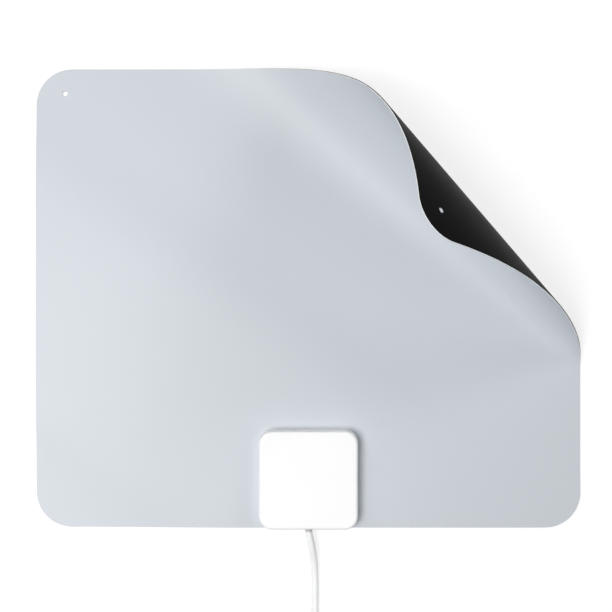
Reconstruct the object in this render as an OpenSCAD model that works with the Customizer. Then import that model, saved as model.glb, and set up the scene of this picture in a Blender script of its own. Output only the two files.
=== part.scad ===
// Flat sheet television antenna with one curled corner, lying face up.
// Origin: on the table, under the middle of the flat sheet. +Y points away from the cord.

/* [Sheet] */
// Width of the flat sheet
sheet_w = 335; // [300:1:360]
// Length of the flat sheet
sheet_h = 282; // [260:1:300]
// Radius of the sheet's corners
sheet_corner_r = 22; // [12:1:30]
// Thickness of each of the two films
film_t = 0.4; // [0.2:0.05:0.5]
// Bond line between the two films
bond_t = 0.09; // [0.08:0.01:0.15]
// Thickness of the foil elements
foil_t = 0.05; // [0.03:0.01:0.06]
// Radius of the two pin holes
pin_hole_r = 1.55; // [1:0.05:2.5]
// Pin hole to the sheet's side edge
pin_inset_x = 17.5; // [12:0.5:30]
// Pin hole to the sheet's far edge
pin_inset_y = 15; // [12:0.5:30]

/* [Curl] */
// Direction in which the corner rolls up, from +X
curl_dir = 38.5; // [36:0.1:41]
// Distance from the sheet's middle to the start of the curl
curl_start = 55; // [50:1:60]
// Length over which the curl tightens
curl_ramp_l = 29; // [24:1:34]
// Length of the tight part of the curl
curl_tight_l = 31; // [26:1:34]
// Radius of the tight part of the curl
curl_tight_r = 37; // [35:0.5:42]
// Radius of the slack part of the curl
curl_loose_r = 110; // [100:1:130]
// Fan of the fold lines before the curl's crest, degrees per mm
curl_fan = 0.257; // [0.15:0.001:0.26]

/* [Housing] */
// Side of the square housing
housing_w = 60.6; // [57:0.2:64]
// Corner radius of the housing
housing_r = 8.5; // [6:0.5:10]
// Height of the front cover above the sheet
cover_h = 10; // [9.6:0.2:13]
// Thickness of the rear cover
rear_t = 2.6; // [2.2:0.1:3.2]
// Wall of the front cover
cover_wall = 1.8; // [1.4:0.1:2.2]
// Ceiling of the front cover
cover_top_t = 1.6; // [1.2:0.1:2]
// How much each side of the front cover leans in towards the top
cover_draft = 0.5; // [0:0.1:1]
// Rounding of the front cover's top edge
cover_edge_r = 1.6; // [0.8:0.1:2]
// Centre of each corner screw from the housing's middle
screw_inset = 24; // [23.5:0.1:24.5]
// Shank radius of the cover screws
screw_r = 1.4; // [1.2:0.05:1.6]

/* [Board] */
// Width of the circuit board
board_w = 40; // [36:0.5:40]
// Length of the circuit board
board_l = 32; // [30:0.5:34]
// Thickness of the circuit board
board_t = 1.6; // [1:0.1:1.8]
// Gap between the sheet and the board
board_gap = 2; // [1.6:0.1:2.4]
// Width of the balun core
core_w = 7.2; // [6.5:0.1:8]
// Length of the balun core
core_l = 6.2; // [5:0.1:8]
// Height of the balun core
core_h = 4.2; // [3.8:0.1:4.4]
// Radius of the core's two holes
core_hole_r = 0.85; // [0.75:0.05:1]
// Wire radius of the balun windings
wire_r = 0.18; // [0.12:0.02:0.2]
// Width of the contact springs
spring_w = 4; // [3:0.5:5]
// Thickness of the contact springs
spring_t = 0.3; // [0.2:0.05:0.4]

/* [Cord] */
// Diameter of the coaxial cord
cord_d = 4.4; // [4:0.1:4.6]
// Radius of the coax dielectric
dielectric_r = 1.45; // [1.2:0.05:1.6]
// Radius over the coax braid
braid_r = 1.8; // [1.7:0.05:1.9]
// Radius of the coax centre conductor
conductor_r = 0.3; // [0.2:0.05:0.4]
// Width of the coil tie
tie_w = 8; // [5:0.5:12]
// Thickness of the coil tie
tie_t = 0.7; // [0.5:0.1:1]

/* [Connector] */
// Hexagon of the connector nut, across flats
nut_af = 11; // [11:0.1:12]
// Length of the connector nut
nut_l = 9; // [8:0.5:11]
// Radius of the nut's threaded bore
nut_bore_r = 4.4; // [4.3:0.05:4.6]
// Radius of the neck that the nut turns on
neck_r = 3.4; // [3.2:0.05:3.6]
// Radial play of the nut on its neck
nut_play = 0.05; // [0.03:0.01:0.08]
// Length of the moulded boot
boot_l = 17; // [15:0.5:22]
// Outer radius of the moulded boot
boot_r = 4.6; // [4.2:0.1:5]
// Radius of the connector's centre pin
pin_r = 0.5; // [0.4:0.05:0.6]

/* [Hidden] */
$fn = 48;

// Fit clearance between pieces that touch, and overshoot of cuts
fit = 0.02;
cut = 1;

// Levels in the housing
film_top = rear_t + 2 * film_t + bond_t;
ceiling_z = film_top + cover_h - cover_top_t;
housing_y = -sheet_h / 2 + housing_w / 2;
board_z = film_top + board_gap;
board_top = board_z + board_t;
board_y = housing_y + 6;
cord_r = cord_d / 2;
cord_z = board_top + conductor_r;

// Fold lines of the sheet. Each is [distance along curl_dir, bend in degrees]
fold_count_drop = 5;
drop_run = 66;
flat_half = 46;
flat_middle = -93;
drop_pitch = drop_run / (2 * fold_count_drop);
drop_bend = asin(rear_t / (drop_pitch * 0.955 * fold_count_drop * fold_count_drop));
tight_pitch = 1.9;
loose_pitch = 4.6;
crest = 135;
crest_r = 2 * curl_tight_r;
ease_end = 162;
fan_end = 119;
curl_end = 218;
curve_key = [
    [curl_start, 0], [curl_start + curl_ramp_l, 1 / curl_tight_r],
    [curl_start + curl_ramp_l + curl_tight_l, 1 / curl_tight_r],
    [crest, 1 / crest_r], [ease_end, 1.2 / curl_loose_r], [curl_end, 1 / curl_loose_r]
];

function drop_folds(from, sign) = [
    for (i = [0 : 2 * fold_count_drop - 1])
        [from + (i + 0.5) * drop_pitch, (i < fold_count_drop ? sign : -sign) * drop_bend]
];
function curl_folds(from, to, pitch) = [
    for (s = [from + pitch / 2 : pitch : to]) [s, pitch * lookup(s, curve_key) * 180 / PI]
];
folds = concat(
    drop_folds(flat_middle - flat_half - drop_run, 1),
    drop_folds(flat_middle + flat_half, -1),
    curl_folds(curl_start, crest, tight_pitch),
    curl_folds(crest, curl_end, loose_pitch)
);
fold_n = len(folds);
anchor = 2 * fold_count_drop;

function fold_angle(s) = curl_dir - 90 + max(0, fan_end - max(s, curl_start)) * curl_fan;
function fold_point(i) = folds[i][0] * [cos(curl_dir), sin(curl_dir)];
function fold_line(i) = [cos(fold_angle(folds[i][0])), sin(fold_angle(folds[i][0]))];
function side_of(p, i) = let(d = fold_line(i), v = p - fold_point(i)) d[0] * v[1] - d[1] * v[0];

// Turn by an angle about the fold line i, as a 4 by 4 matrix
function fold_turn(i, angle) =
    let(d = fold_line(i), p = fold_point(i), c = cos(angle), s = sin(angle), k = 1 - c,
        r = [[c + k * d[0] * d[0], k * d[0] * d[1], s * d[1]],
             [k * d[0] * d[1], c + k * d[1] * d[1], -s * d[0]],
             [-s * d[1], s * d[0], c]],
        o = [p[0], p[1], 0] - r * [p[0], p[1], 0])
    [[r[0][0], r[0][1], r[0][2], o[0]], [r[1][0], r[1][1], r[1][2], o[1]],
     [r[2][0], r[2][1], r[2][2], o[2]], [0, 0, 0, 1]];

// Place of each flat strip between two fold lines, counted out from the strip under the housing
raised = [[1, 0, 0, 0], [0, 1, 0, 0], [0, 0, 1, rear_t], [0, 0, 0, 1]];
strips_after = [
    for (i = anchor, m = raised; i <= fold_n;
        m = i < fold_n ? m * fold_turn(i, folds[i][1]) : m, i = i + 1) m
];
strips_before = [
    for (i = anchor - 1, m = raised * fold_turn(anchor - 1, -folds[anchor - 1][1]); i >= 0;
        i = i - 1, m = i >= 0 ? m * fold_turn(i, -folds[i][1]) : m) m
];
strips = concat([for (i = [anchor - 1 : -1 : 0]) strips_before[i]], strips_after);

function strip_of(p) = len([for (i = [0 : fold_n - 1]) if (side_of(p, i) > 0) i]);
function moved(m, p, z) = let(q = m * [p[0], p[1], z, 1]) [q[0], q[1], q[2]];
function normal_of(m) = [m[0][2], m[1][2], m[2][2]];

// A point on fold i at height z above the sheet's back, on the mitre between its two strips
function on_fold(i, p, z) =
    let(n = normal_of(strips[i]) + normal_of(strips[i + 1]), u = n / norm(n))
    moved(strips[i], p, 0) + u * z / cos(folds[i][1] / 2);

function crossing(a, b, i) =
    let(sa = side_of(a, i), sb = side_of(b, i)) a + (b - a) * sa / (sa - sb);

function rounded_outline(w, h, r, steps) = [
    for (k = [0 : 3]) for (j = [0 : steps])
        let(a = 90 * k + 90 * j / steps,
            cx = (k == 0 || k == 3 ? 1 : -1) * (w / 2 - r), cy = (k < 2 ? 1 : -1) * (h / 2 - r))
        [cx + r * cos(a), cy + r * sin(a)]
];

function index_of_min(v) = search([min(v)], v)[0];
function rolled(list, k) = [for (i = [0 : len(list) - 1]) list[(i + k) % len(list)]];

// Layer of the sheet between heights z0 and z1 over a convex, counter-clockwise outline,
// bent along every fold line that crosses it
module folded_layer(outline, z0, z1) {
    depth = [for (p = outline) p * [cos(curl_dir), sin(curl_dir)]];
    ring = rolled(outline, index_of_min(depth));
    m = len(ring);
    place = [for (p = ring) strip_of(p)];
    last = max(place);
    first = min(place);
    tip = search([last], place)[0];
    behind = [for (i = [first : 1 : last - 1]) i];
    right = [for (i = behind)
        let(j = max([for (j = [0 : tip]) if (place[j] <= i) j])) crossing(ring[j], ring[j + 1], i)];
    left = [for (i = behind)
        let(j = min([for (j = [tip + 1 : m]) if (place[j % m] <= i) j]))
            crossing(ring[j - 1], ring[j % m], i)];
    n = len(behind);
    half = 2 * n + m;
    function layer_points(z) = concat(
        [for (k = [0 : 1 : n - 1]) on_fold(behind[k], right[k], z)],
        [for (k = [0 : 1 : n - 1]) on_fold(behind[k], left[k], z)],
        [for (j = [0 : m - 1]) moved(strips[place[j]], ring[j], z)]);
    strip_faces = [
        for (k = [first : last])
            concat(
                k > first ? [k - first - 1] : [],
                [for (j = [0 : tip]) if (place[j] == k) 2 * n + j],
                k < last ? [k - first, n + k - first] : [],
                [for (j = [tip + 1 : 1 : m - 1]) if (place[j] == k) 2 * n + j],
                k > first ? [n + k - first - 1] : [])
    ];
    rim = concat(
        [for (k = [first : last]) each concat(
            [for (j = [0 : tip]) if (place[j] == k) 2 * n + j], k < last ? [k - first] : [])],
        [for (k = [last : -1 : first]) each concat(
            [for (j = [tip + 1 : 1 : m - 1]) if (place[j] == k) 2 * n + j],
            k > first ? [n + k - first - 1] : [])]);
    e = len(rim);
    polyhedron(
        points = concat(layer_points(z1), layer_points(z0)),
        faces = concat(
            [for (f = strip_faces) [for (i = [len(f) - 1 : -1 : 0]) f[i]]],
            [for (f = strip_faces) [for (i = f) half + i]],
            [for (i = [0 : e - 1]) let(a = rim[i], b = rim[(i + 1) % e]) [a, b, half + b]],
            [for (i = [0 : e - 1]) let(a = rim[i], b = rim[(i + 1) % e]) [a, half + b, half + a]]),
        convexity = 6);
}

// Places its children on the bent sheet at a flat point, with +Z out of the front
module on_sheet(p) {
    multmatrix(strips[strip_of(p)]) translate([p[0], p[1], 0]) children();
}

sheet_outline = rounded_outline(sheet_w, sheet_h, sheet_corner_r, 8);
pin_points = [for (sx = [-1, 1]) [sx * (sheet_w / 2 - pin_inset_x), sheet_h / 2 - pin_inset_y]];
screw_points = [for (sx = [-1, 1]) for (sy = [-1, 1]) [sx * screw_inset, housing_y + sy * screw_inset]];
window_x = 13;
window_y = housing_y + 2;
window_r = 3.6;

module film_holes() {
    for (p = pin_points) on_sheet(p) translate([0, 0, -cut]) cylinder(r = pin_hole_r, h = 2 * cut + 1);
    for (p = screw_points) translate([p[0], p[1], 0]) cylinder(r = screw_r + 0.3, h = film_top + cut);
}

module front_film() {
    color([0.84, 0.86, 0.88]) difference() {
        folded_layer(sheet_outline, film_t + bond_t, 2 * film_t + bond_t);
        film_holes();
        for (sx = [-1, 1]) translate([sx * window_x, window_y, rear_t + film_t])
            cylinder(r = window_r, h = film_top);
    }
}

module rear_film() {
    color([0.1, 0.1, 0.11]) difference() {
        folded_layer(sheet_outline, 0, film_t);
        film_holes();
    }
}

// Half of the fan-shaped dipole foil, feed end at the housing, side is -1 or 1
foil_margin = 12;
foil_feed_w = 7;
foil_feed_x = [4, 18, 60];
foil_corner = [26, 16];
foil_head = 22;
function foil_half(side) =
    let(x = side * foil_feed_x, x2 = side * (sheet_w / 2 - foil_margin), x1 = x2 - side * foil_corner[0],
        y0 = window_y, y1 = sheet_h / 2 - foil_margin - foil_head,
        p = [[x[0], y0 - foil_feed_w], [x[1], y0 - foil_feed_w], [x2, -20], [x2, y1 - foil_corner[1]],
             [x1, y1], [x[2], y1], [x[0], y0 + foil_feed_w]])
    side > 0 ? p : [for (i = [len(p) - 1 : -1 : 0]) p[i]];
module foil(side) {
    gap = (bond_t - foil_t) / 2;
    difference() {
        folded_layer(foil_half(side), film_t + gap, film_t + gap + foil_t);
        for (p = screw_points) translate([p[0], p[1], 0]) cylinder(r = screw_r + 0.8, h = film_top + cut);
    }
}
module element_left() { color([0.72, 0.72, 0.7]) foil(-1); }
module element_right() { color([0.72, 0.72, 0.7]) foil(1); }

// Square plate with round corners, side w, corner radius r
module soft_square(w, r) {
    square([w, w - 2 * r], center = true);
    square([w - 2 * r, w], center = true);
    for (sx = [-1, 1]) for (sy = [-1, 1])
        translate([sx * (w / 2 - r), sy * (w / 2 - r)]) circle(r = r);
}
module soft_plate(w, r, z0, h) {
    translate([0, housing_y, z0]) linear_extrude(h) soft_square(w, r);
}

post_r = 3;
post_pin_r = 1.2;
post_inset = [4.5, 4];
post_points = [
    for (sx = [-1, 1]) for (sy = [-1, 1])
        [sx * (board_w / 2 - post_inset[0]), board_y + sy * (board_l / 2 - post_inset[1])]
];
boss_r = 3.5;
bore_end_gap = 0.6;
clamp_y = -sheet_h / 2 + 9;
clamp_x = 7.5;
clamp_w = 6;
clamp_t = 1.6;
clamp_seat_z = cord_z - cord_r + 0.6;
clamp_screw_r = 1;

module front_cover() {
    color([0.97, 0.97, 0.97]) difference() {
        union() {
            difference() {
                hull() {
                    soft_plate(housing_w, housing_r, film_top, 0.2);
                    for (a = [0 : 22.5 : 90])
                        let(lean = cover_draft + cover_edge_r * (1 - cos(a)),
                            z = film_top + cover_h - cover_edge_r * (1 - sin(a)))
                        soft_plate(housing_w - 2 * lean, housing_r - lean, z - 0.02, 0.02);
                }
                soft_plate(housing_w - 2 * cover_wall, housing_r - cover_wall,
                    film_top - cut, cover_h - cover_top_t + cut);
            }
            for (p = screw_points) translate([p[0], p[1], film_top])
                cylinder(r = boss_r, h = ceiling_z - film_top + 0.2);
            for (p = post_points) {
                translate([p[0], p[1], board_top + fit]) cylinder(r = post_r, h = ceiling_z - board_top);
                translate([p[0], p[1], board_z - 0.5]) cylinder(r = post_pin_r, h = board_t + 1.5);
            }
            for (sx = [-1, 1]) translate([sx * clamp_x, clamp_y, clamp_seat_z])
                cylinder(r = clamp_w / 2, h = ceiling_z - clamp_seat_z + 0.2);
            translate([-clamp_x, clamp_y - 1.5, cord_z]) cube([2 * clamp_x, 3, ceiling_z - cord_z + 0.2]);
        }
        for (p = screw_points) translate([p[0], p[1], film_top - cut])
            cylinder(r = screw_r + fit, h = cut + ceiling_z - film_top - bore_end_gap);
        for (sx = [-1, 1]) translate([sx * clamp_x, clamp_y, clamp_seat_z - cut])
            cylinder(r = clamp_screw_r + fit, h = cut + 4.4);
        translate([0, -sheet_h / 2 - cut, cord_z]) rotate([-90, 0, 0])
            cylinder(r = cord_r + fit, h = 20);
    }
}

screw_head_r = 2.8;
screw_sink = 0.3;
module rear_cover() {
    edge = 0.8;
    color([0.12, 0.12, 0.13]) difference() {
        union() {
            soft_plate(housing_w, housing_r, edge, rear_t - edge);
            hull() {
                soft_plate(housing_w - 2 * edge, housing_r - edge, 0, 0.1);
                soft_plate(housing_w, housing_r, edge, 0.1);
            }
        }
        for (p = screw_points) translate([p[0], p[1], 0]) {
            translate([0, 0, -cut]) cylinder(r = screw_r + 0.2, h = rear_t + 2 * cut);
            translate([0, 0, -cut]) cylinder(r = screw_head_r + fit, h = cut + screw_sink);
            translate([0, 0, screw_sink])
                cylinder(r1 = screw_head_r + fit, r2 = screw_r + 0.2, h = screw_head_r - screw_r);
        }
    }
}

module circuit_board() {
    color([0.1, 0.4, 0.2]) difference() {
        translate([-board_w / 2, board_y - board_l / 2, board_z]) cube([board_w, board_l, board_t]);
        for (p = post_points) translate([p[0], p[1], board_z - cut])
            cylinder(r = post_pin_r + 0.1, h = board_t + 2 * cut);
    }
}

core_y = board_y + 4;
core_hole_x = core_w / 5;
module balun_core() {
    color([0.2, 0.19, 0.18]) difference() {
        translate([0, core_y, board_top]) intersection() {
            translate([-core_w / 2, -core_l / 2, 0]) cube([core_w, core_l, core_h]);
            union() {
                for (sx = [-1, 1])
                    translate([sx * (core_w - core_h) / 2, -core_l, core_h / 2]) rotate([-90, 0, 0])
                    cylinder(r = core_h / 2, h = 2 * core_l);
                translate([-(core_w - core_h) / 2, -core_l, 0]) cube([core_w - core_h, 2 * core_l, core_h]);
            }
        }
        for (sx = [-1, 1])
            translate([sx * core_hole_x, core_y - core_l, board_top + core_h / 2]) rotate([-90, 0, 0])
                cylinder(r = core_hole_r, h = 2 * core_l);
    }
}

// One closed wire loop through both holes of the core
module wire_loop(z, reach) {
    for (sx = [-1, 1]) translate([sx * core_hole_x, -reach, z]) rotate([-90, 0, 0])
        cylinder(r = wire_r, h = 2 * reach, $fn = 16);
    for (k = [0, 1]) translate([0, (k == 0 ? -1 : 1) * reach, z]) rotate([0, 0, 180 * (1 - k)])
        rotate_extrude(angle = 180, $fn = 32) translate([core_hole_x, 0]) circle(r = wire_r, $fn = 16);
}
module balun_windings() {
    turns = 3;
    color([0.7, 0.35, 0.2]) translate([0, core_y, board_top + core_h / 2])
        for (i = [0 : turns - 1]) wire_loop((i - 1) * (2 * wire_r + 0.06), core_l / 2 + 0.3);
}

// Chips: [x, y, size in x, size in y, height] from the board's middle
chips = [
    [-11, -6, 3, 2.6, 1.1], [-11, -1, 2, 1.3, 0.8], [-11, 3, 2, 1.3, 0.8], [9, -6, 2, 1.3, 0.8],
    [9, -2.5, 2, 1.3, 0.8], [12.5, -4, 1.3, 2, 0.8], [9, 2, 3, 2.6, 1.1], [-6.5, -8, 1.3, 2, 0.8]
];
module chip_components() {
    color([0.15, 0.15, 0.15]) for (c = chips)
        translate([c[0] - c[2] / 2, board_y + c[1] - c[3] / 2, board_top]) cube([c[2], c[3], c[4]]);
}

// Leaf spring from the board's underside through the film's window to the foil, side is -1 or 1
module contact_spring(side) {
    foil_z = rear_t + film_t + (bond_t + foil_t) / 2 + fit;
    top = board_z;
    profile = [[-5, top], [-5, top - spring_t], [-1.6, top - spring_t], [1, foil_z], [2.2, foil_z],
        [3, foil_z + 0.7], [2.8, foil_z + 0.8 + spring_t / 2], [2, foil_z + spring_t],
        [1.3, foil_z + spring_t], [-1.3, top]];
    translate([side * window_x, window_y + spring_w / 2, 0]) rotate([90, 0, 0])
        mirror([side < 0 ? 1 : 0, 0, 0]) linear_extrude(spring_w) polygon(profile);
}
module contact_spring_left() { color([0.85, 0.7, 0.4]) contact_spring(-1); }
module contact_spring_right() { color([0.85, 0.7, 0.4]) contact_spring(1); }

// Cross slot of length l and width w in a screw's head, seen from below
module cross_slot(l, w, depth) {
    for (a = [0, 90]) rotate([0, 0, a]) translate([-l / 2, -w / 2, -cut]) cube([l, w, cut + depth]);
}
screw_end_gap = 1.8;
module cover_screws() {
    color([0.75, 0.75, 0.77]) for (p = screw_points) translate([p[0], p[1], screw_sink]) difference() {
        union() {
            cylinder(r1 = screw_head_r, r2 = screw_r, h = screw_head_r - screw_r);
            cylinder(r = screw_r, h = ceiling_z - screw_end_gap - screw_sink);
        }
        cross_slot(3.2, 0.6, 0.8);
    }
}

module cord_clamp() {
    color([0.9, 0.9, 0.88]) difference() {
        translate([-clamp_x - clamp_w / 2, clamp_y - clamp_w / 2, clamp_seat_z - clamp_t - fit])
            cube([2 * clamp_x + clamp_w, clamp_w, clamp_t]);
        translate([0, clamp_y - clamp_w, cord_z]) rotate([-90, 0, 0])
            cylinder(r = cord_r + fit, h = 2 * clamp_w);
        for (sx = [-1, 1]) translate([sx * clamp_x, clamp_y, clamp_seat_z - clamp_t - fit]) {
            translate([0, 0, -cut]) cylinder(r = clamp_screw_r + fit, h = clamp_t + 2 * cut);
            translate([0, 0, -fit]) cylinder(r1 = 1.9, r2 = clamp_screw_r, h = 0.9);
        }
    }
}
module clamp_screws() {
    color([0.75, 0.75, 0.77]) for (sx = [-1, 1])
        translate([sx * clamp_x, clamp_y, clamp_seat_z - clamp_t]) difference() {
            union() {
                cylinder(r1 = 1.86, r2 = clamp_screw_r, h = 0.85);
                cylinder(r = clamp_screw_r, h = clamp_t + 4);
            }
            cross_slot(2.2, 0.4, 0.5);
        }
}

// Stripped end of the coax inside the housing, from the jacket's end to the board
jacket_end = clamp_y + 6;
braid_end = jacket_end + 2.4;
dielectric_end = board_y - board_l / 2 - 0.3;
module along_y(y0, y1, r) { translate([0, y0, cord_z]) rotate([-90, 0, 0]) cylinder(r = r, h = y1 - y0); }
module coax_conductor() { color([0.8, 0.5, 0.3]) along_y(jacket_end, dielectric_end + 5, conductor_r); }
module coax_dielectric() {
    color([0.95, 0.95, 0.93]) difference() {
        along_y(jacket_end, dielectric_end, dielectric_r);
        along_y(jacket_end - cut, dielectric_end + cut, conductor_r);
    }
}
module coax_braid() {
    pigtail_r = 0.5;
    reach = board_y - board_l / 2 + 3 - braid_end;
    color([0.7, 0.7, 0.72]) difference() {
        union() {
            along_y(jacket_end, braid_end, braid_r);
            translate([dielectric_r + 0.6, braid_end - 1, cord_z + 0.6]) {
                rotate([-90, 0, 0]) cylinder(r = pigtail_r, h = reach + 1, $fn = 24);
                sphere(r = pigtail_r, $fn = 24);
            }
            translate([dielectric_r + 0.1, braid_end - 1.4, cord_z]) cube([1, 1.2, 1]);
        }
        along_y(jacket_end - cut, braid_end + reach + cut, dielectric_r);
    }
}

// The cord's route outside, chosen by hand, and its coil beyond the connector side
cord_route = [
    [0, -137, 0], [0.1, -142, 0], [0.9, -147, -0.3], [2.2, -153, -1.5], [3.2, -160, -3.4],
    [3.8, -168, -4.7], [4, -176, -5], [4, -190, -5], [4, -205, -5], [4, -218, -5], [4, -231, -5]
];
cord_sides = 10;
coil_slots = [4, 3];
coil_slot_r = 30.6;
coil_start = cord_route[len(cord_route) - 1];
coil_middle = [coil_start[0] + coil_slot_r, coil_start[1]];
coil_w = coil_slots[0] * cord_d;
coil_h = coil_slots[1] * cord_d;
coil_r = coil_slot_r + cord_r - coil_w / 2;
tail_y = coil_middle[1] - coil_slot_r;
tail_z = 1.5 * cord_d;
connector_z = nut_af / 2;
boot_x = coil_middle[0] + 28;
tail_route = [
    [coil_middle[0], tail_y, tail_z], [coil_middle[0] + 14, tail_y, tail_z],
    [coil_middle[0] + 20, tail_y, tail_z * 0.6 + connector_z * 0.4],
    [boot_x - 3, tail_y, connector_z], [boot_x + 4, tail_y, connector_z], [boot_x + 11, tail_y, connector_z]
];
// The route starts at the coax's height in the housing and ends with the cord on the table
out_drop = (cord_z - cord_r) / 5;
route_start = [0, jacket_end, cord_z];
route = concat(
    [route_start],
    [for (p = cord_route) [p[0], p[1], cord_z + p[2] * out_drop]]
);

function eased(p, i, t) =
    let(n = len(p) - 1, a = p[max(0, i - 1)], b = p[i], c = p[i + 1], d = p[min(n, i + 2)],
        u = (c - a) / 2, v = (d - b) / 2)
    b * (2 * t * t * t - 3 * t * t + 1) + u * (t * t * t - 2 * t * t + t)
        + c * (3 * t * t - 2 * t * t * t) + v * (t * t * t - t * t);
function eased_line(p, steps) = concat(
    [for (i = [0 : len(p) - 2]) for (j = [0 : steps - 1]) eased(p, i, j / steps)], [p[len(p) - 1]]);
module swept_tube(p, r, sides) {
    n = len(p);
    rings = [
        for (i = [0 : n - 1])
            let(t = p[min(n - 1, i + 1)] - p[max(0, i - 1)], f = t / norm(t),
                s0 = cross(f, [0, 0, 1]), s = s0 / norm(s0), u = cross(s, f))
            for (k = [0 : sides - 1])
                let(a = (k + 0.5) * 360 / sides) p[i] + r * (cos(a) * s + sin(a) * u)
    ];
    polyhedron(
        points = rings,
        faces = concat(
            [[for (k = [0 : sides - 1]) k]],
            [[for (k = [sides - 1 : -1 : 0]) (n - 1) * sides + k]],
            [for (i = [0 : n - 2]) for (k = [0 : sides - 1])
                let(a = i * sides + k, b = i * sides + (k + 1) % sides) [a, a + sides, b + sides]],
            [for (i = [0 : n - 2]) for (k = [0 : sides - 1])
                let(a = i * sides + k, b = i * sides + (k + 1) % sides) [a, b + sides, b]]));
}
module cord() { color([0.95, 0.95, 0.94]) swept_tube(eased_line(route, 2), cord_r, cord_sides); }
module cord_tail() { color([0.95, 0.95, 0.94]) swept_tube(eased_line(tail_route, 2), cord_r, cord_sides); }

tie_angle = 40;
module tie_place() {
    translate([coil_middle[0], coil_middle[1], 0]) rotate([0, 0, tie_angle])
        translate([coil_r, tie_w / 2, coil_h / 2]) rotate([90, 0, 0]) children();
}
module tie_section(shrink) {
    square([coil_w - 2 * shrink, coil_h - 2 * shrink], center = true);
}
module coil_tie() {
    color([0.93, 0.93, 0.92]) tie_place() linear_extrude(tie_w) difference() {
        tie_section(0);
        tie_section(tie_t);
    }
}
module cord_coil() {
    groove = cord_r + fit;
    color([0.95, 0.95, 0.94]) difference() {
        translate([coil_middle[0], coil_middle[1], 0]) rotate_extrude($fn = 64)
            translate([coil_r, coil_h / 2]) square([coil_w, coil_h], center = true);
        tie_place() translate([0, 0, -fit]) linear_extrude(tie_w + 2 * fit) difference() {
            square([coil_w + 8, coil_h + 8], center = true);
            tie_section(tie_t + fit);
        }
        translate([coil_middle[0] - coil_slot_r - groove, coil_middle[1], -cut])
            cube([2 * groove, coil_w * 2, cut + cord_d + fit]);
        translate([coil_middle[0], tail_y - groove - 4, tail_z - groove])
            cube([coil_w, 2 * groove + 4, 2 * groove]);
    }
}

// The connector stands along +X; its pieces are turned about that axis
neck_start = 11;
nut_start = boot_l + 2.5;
lip = 2.2;
flange_gap = 0.2;
flange_t = 1.5;
insulator_r = 2.6;
insulator_start = neck_start + 2;
pin_tip = 0.5;
body_end = nut_start + lip + flange_gap + flange_t;
nut_end = nut_start + nut_l;
pin_l = nut_end - neck_start - 1.5;
module on_connector() { translate([boot_x, tail_y, connector_z]) rotate([0, 90, 0]) children(); }
module connector_boot() {
    cone_l = 6;
    grips = 3;
    grip_start = 7;
    grip_gap = 0.9;
    cuff_l = 1.5;
    grip_pitch = (boot_l - grip_start - cuff_l) / grips;
    color([0.95, 0.95, 0.94]) on_connector() difference() {
        union() {
            cylinder(r1 = cord_r + 0.7, r2 = boot_r - 0.5, h = cone_l);
            translate([0, 0, cone_l]) cylinder(r = boot_r - 0.5, h = boot_l - cone_l);
            for (i = [0 : grips - 1]) translate([0, 0, grip_start + i * grip_pitch])
                cylinder(r = boot_r, h = grip_pitch - grip_gap);
            translate([0, 0, boot_l - cuff_l]) cylinder(r = boot_r, h = cuff_l);
        }
        translate([0, 0, -cut]) cylinder(r = cord_r + fit, h = boot_l + 2 * cut);
        translate([0, 0, neck_start]) cylinder(r = neck_r + fit, h = boot_l);
    }
}
module connector_body() {
    color([0.8, 0.78, 0.72]) on_connector() difference() {
        union() {
            translate([0, 0, neck_start]) cylinder(r = neck_r, h = body_end - neck_start);
            translate([0, 0, body_end - flange_t]) cylinder(r = nut_bore_r - 0.1, h = flange_t);
        }
        translate([0, 0, insulator_start]) cylinder(r = insulator_r, h = body_end);
        translate([0, 0, neck_start - cut]) cylinder(r = conductor_r + 0.3, h = 4);
    }
}
module connector_insulator() {
    color([0.96, 0.96, 0.95]) on_connector() difference() {
        translate([0, 0, insulator_start + fit])
            cylinder(r = insulator_r - fit, h = body_end - insulator_start - 0.4);
        translate([0, 0, neck_start]) cylinder(r = pin_r + fit, h = body_end);
    }
}
module connector_pin() {
    color([0.85, 0.6, 0.35]) on_connector() translate([0, 0, insulator_start + 2 * fit]) union() {
        cylinder(r = pin_r, h = pin_l);
        translate([0, 0, pin_l]) cylinder(r1 = pin_r, r2 = pin_r / 2, h = pin_tip);
    }
}
module connector_nut() {
    chamfer = 0.8;
    color([0.8, 0.78, 0.72]) on_connector() translate([0, 0, nut_start]) difference() {
        intersection() {
            rotate([0, 0, 30]) cylinder(r = nut_af / 2 / cos(30), h = nut_l, $fn = 6);
            union() {
                cylinder(r1 = nut_af / 2, r2 = nut_af / 2 + chamfer, h = chamfer);
                translate([0, 0, chamfer]) cylinder(r = nut_af / 2 + chamfer, h = nut_l - 2 * chamfer);
                translate([0, 0, nut_l - chamfer])
                    cylinder(r1 = nut_af / 2 + chamfer, r2 = nut_af / 2, h = chamfer);
            }
        }
        translate([0, 0, -cut]) cylinder(r = neck_r + nut_play, h = nut_l + 2 * cut);
        translate([0, 0, lip]) cylinder(r = nut_bore_r, h = nut_l);
    }
}

front_film();
rear_film();
element_left();
element_right();
front_cover();
rear_cover();
circuit_board();
balun_core();
balun_windings();
chip_components();
contact_spring_left();
contact_spring_right();
cover_screws();
cord_clamp();
clamp_screws();
coax_dielectric();
coax_braid();
coax_conductor();
cord();
cord_coil();
coil_tie();
cord_tail();
connector_boot();
connector_body();
connector_insulator();
connector_pin();
connector_nut();
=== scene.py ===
"""Visible pieces, materials and stage of a flat sheet television antenna with one curled corner."""

import math

import bpy
import numpy as np
from bpy.props import FloatProperty, FloatVectorProperty, IntProperty, PointerProperty
from bpy.types import Operator, Panel, PropertyGroup
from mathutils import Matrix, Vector
from mathutils.geometry import delaunay_2d_cdt


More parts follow.
